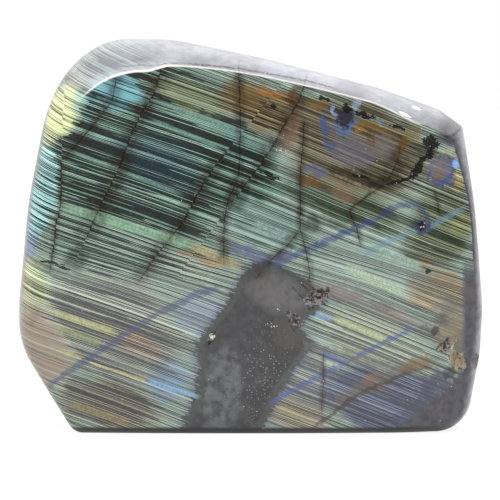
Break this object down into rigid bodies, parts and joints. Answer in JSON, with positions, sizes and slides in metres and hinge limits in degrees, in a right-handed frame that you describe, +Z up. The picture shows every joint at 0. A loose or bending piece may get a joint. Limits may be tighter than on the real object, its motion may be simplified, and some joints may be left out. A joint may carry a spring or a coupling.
{
  "type": "polished labradorite freeform",
  "caption": "Self-standing polished labradorite slab with a flat sawn base, a flashing striped face, bevelled crown and rounded ground back.",
  "frame": {"origin": "under the middle of the stone's box, on the plane of its flat base", "axes": "+Z up, -Y the way the flashing face looks, +X to the right as seen from the front"},
  "size_m": [0.141, 0.0428, 0.1188],
  "materials": {
    "labradorite": "polished, dark grey-green feldspar with blue, green and gold flash in fine stripes"
  },
  "bodies": {
    "root": {"labradorite": "labradorite"}
  },
  "joints": []
}
